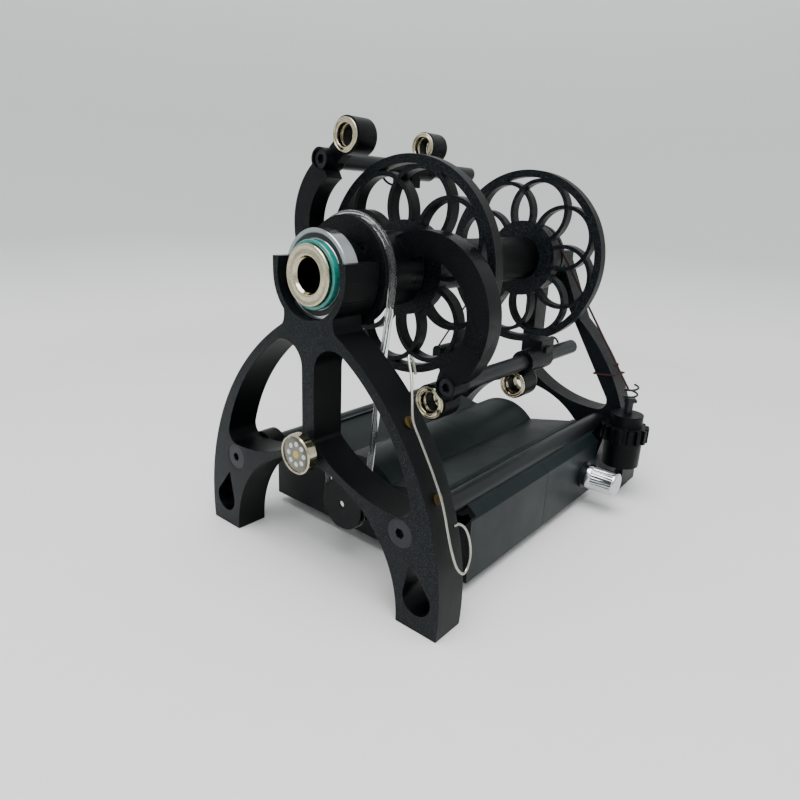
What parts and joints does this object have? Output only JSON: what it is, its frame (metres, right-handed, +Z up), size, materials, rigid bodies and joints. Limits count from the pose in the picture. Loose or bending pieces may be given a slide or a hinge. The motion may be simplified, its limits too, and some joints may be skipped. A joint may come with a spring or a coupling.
{
  "type": "electric yarn spinner",
  "caption": "Tabletop electric yarn spinner: arched frames on rails, motor base, belt-driven flyer with sliding ring guides, and a braked lace-flanged bobbin.",
  "frame": {"origin": "centre of the orifice eyelet's front face, on the spin axis", "axes": "+Y back along the spin axis, +Z up, +X to the right seen from the front"},
  "size_m": [0.1622, 0.2258, 0.2023],
  "materials": {
    "black_print": "fine-layered black printed plastic, satin",
    "charcoal_print": "satin charcoal plastic",
    "dark_steel": "black-oxide steel",
    "rod_grey": "satin dark grey tube",
    "bearing_steel": "ground bearing steel",
    "seal_rubber": "black bearing seal",
    "nickel": "warm bright nickel plate",
    "bright_wire": "bright steel wire",
    "chrome_knob": "fluted chrome",
    "teal_plastic": "glossy teal",
    "clear_band": "clear polyurethane",
    "red_cord": "dark red twisted cord",
    "brass": "satin brass",
    "board_green": "solder-masked board",
    "motor_steel": "zinc-plated motor can",
    "dome_glass": "clear cabochon over a plain flower motif"
  },
  "bodies": {
    "stand": {"front_frame": "black_print", "rear_frame": "black_print", "left_rail": "rod_grey", "right_rail": "rod_grey", "frame_screws": "dark_steel", "base_front_shell": "charcoal_print", "base_rear_shell": "charcoal_print", "base_cover": "charcoal_print", "small_screws": "dark_steel", "motor_can": "motor_steel", "control_board": "board_green", "speed_pot": "dark_steel", "pot_nut": "dark_steel", "power_jack": "dark_steel", "badge_cup": "nickel", "badge_dome": "dome_glass", "hook_magnets": "brass", "drive_band": "clear_band", "brake_cord": "red_cord", "brake_cord_end": "red_cord", "cord_keeper": "red_cord", "cord_anchor": "black_print", "tension_housing": "black_print", "front_bearing_outer": "bearing_steel", "rear_bearing_outer": "bearing_steel", "bearing_seals": "seal_rubber"},
    "flyer": {"flyer_yoke": "black_print", "drive_whorl": "black_print", "whorl_screws": "dark_steel", "orifice_tube": "black_print", "orifice_eyelet": "nickel", "teal_sleeve": "teal_plastic", "front_bearing_inner": "bearing_steel", "rear_bearing_inner": "bearing_steel", "flyer_shaft": "bearing_steel", "shaft_spacer": "black_print", "upper_rod": "rod_grey", "lower_rod": "rod_grey", "rod_screws": "dark_steel", "fixed_ring_grommets": "nickel"},
    "front_ball_set": {"front_bearing_balls": "bearing_steel"},
    "rear_ball_set": {"rear_bearing_balls": "bearing_steel"},
    "bobbin": {"bobbin_core": "black_print", "bobbin_front_flange": "black_print", "bobbin_rear_flange": "black_print", "bobbin_bushes": "brass", "brake_whorl": "black_print"},
    "pulley": {"motor_pulley": "black_print", "motor_shaft": "bearing_steel"},
    "knob": {"speed_knob": "chrome_knob", "pot_shaft": "bearing_steel"},
    "thumbwheel": {"tension_wheel": "black_print"},
    "cord_hook": {"tension_rod": "dark_steel", "hook_ring": "bright_wire"},
    "upper_ring_guide": {"upper_guide": "black_print", "upper_guide_grommets": "nickel"},
    "lower_ring_guide": {"lower_guide": "black_print", "lower_guide_grommets": "nickel"},
    "yarn_threader": {"threading_hook": "bright_wire"}
  },
  "joints": [
    {"name": "flyer_spin", "type": "hinge", "parent": "stand", "child": "flyer", "pos_m": [0, 0, 0], "axis": [0, 1, 0], "continuous": true},
    {"name": "bobbin_spin", "type": "hinge", "parent": "flyer", "child": "bobbin", "pos_m": [0, 0.12, 0], "axis": [0, 1, 0], "continuous": true},
    {"name": "motor_spin", "type": "hinge", "parent": "stand", "child": "pulley", "pos_m": [0, 0.0255, -0.11], "axis": [0, 1, 0], "continuous": true},
    {"name": "front_balls_orbit", "type": "hinge", "parent": "stand", "child": "front_ball_set", "pos_m": [0, 0.0084, 0], "axis": [0, 1, 0], "continuous": true},
    {"name": "rear_balls_orbit", "type": "hinge", "parent": "stand", "child": "rear_ball_set", "pos_m": [0, 0.1995, 0], "axis": [0, 1, 0], "continuous": true},
    {"name": "speed_turn", "type": "hinge", "parent": "stand", "child": "knob", "pos_m": [0.07, 0.157, -0.1175], "axis": [-1, 0, 0], "range_deg": [0, 300]},
    {"name": "tension_turn", "type": "hinge", "parent": "stand", "child": "thumbwheel", "pos_m": [0.074, 0.186, -0.095], "axis": [0, 0, 1], "range_deg": [-2704, 2704]},
    {"name": "tension_lift", "type": "slide", "parent": "stand", "child": "cord_hook", "axis": [0, 0, 1], "range_m": [-0.006, 0.006], "deforming": ["brake_cord_end"]},
    {"name": "upper_guide_slide", "type": "slide", "parent": "flyer", "child": "upper_ring_guide", "axis": [0, 1, 0], "range_m": [-0.0315, 0.0375]},
    {"name": "lower_guide_slide", "type": "slide", "parent": "flyer", "child": "lower_ring_guide", "axis": [0, 1, 0], "range_m": [-0.0445, 0.0175]},
    {"name": "threader_pull", "type": "slide", "parent": "stand", "child": "yarn_threader", "axis": [1, 0, 0], "range_m": [0, 0.06]}
  ],
  "couplings": [
    {"joint": "motor_spin", "follows": "flyer_spin", "ratio": 2.0513},
    {"joint": "front_balls_orbit", "follows": "flyer_spin", "ratio": 0.44444},
    {"joint": "rear_balls_orbit", "follows": "flyer_spin", "ratio": 0.37226},
    {"joint": "tension_turn", "follows": "tension_lift", "rad_per_m": -7854}
  ]
}
